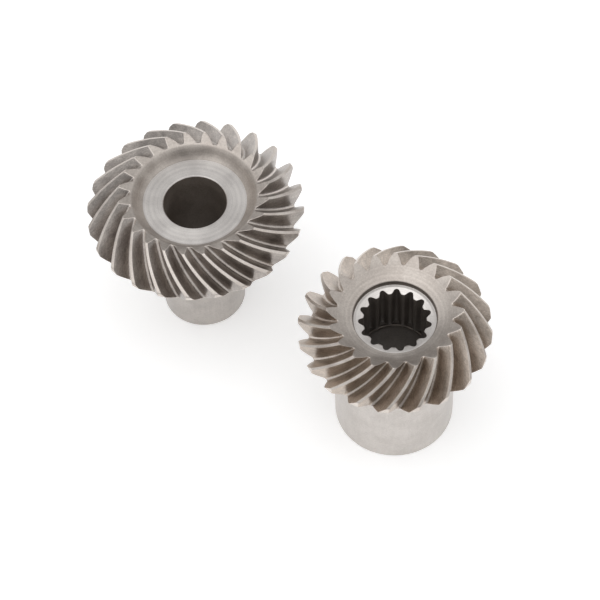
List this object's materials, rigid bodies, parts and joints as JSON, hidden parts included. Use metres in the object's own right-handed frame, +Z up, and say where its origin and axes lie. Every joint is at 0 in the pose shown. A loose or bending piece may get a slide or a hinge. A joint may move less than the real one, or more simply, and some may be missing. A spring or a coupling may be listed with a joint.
{
  "type": "spiral bevel gear pair",
  "caption": "Two machined steel spiral bevel gears of opposite hand standing on their hubs: a plain-bored driven gear and a smaller drive gear with an internally splined bore.",
  "frame": {"origin": "on the surface that both hub ends stand on, midway along and across the pair's outline", "axes": "+Z up along both gear axes, from the hub ends to the toothed fronts; +X from the driven gear to the drive gear; +Y completes the right-hand frame"},
  "size_m": [0.216, 0.1056, 0.0872],
  "materials": {
    "driven_gear_steel": "turned and ground hub and front, cut tooth flanks",
    "drive_gear_steel": "ground hub and front, cut tooth flanks, broached splines"
  },
  "bodies": {
    "driven_gear": {"driven_gear": "driven_gear_steel"},
    "drive_gear": {"drive_gear": "drive_gear_steel"}
  },
  "joints": [
    {"name": "drive_gear_spin", "type": "hinge", "parent": "driven_gear", "child": "drive_gear", "pos_m": [0.0624, 0, 0], "axis": [0, 0, 1], "continuous": true}
  ]
}
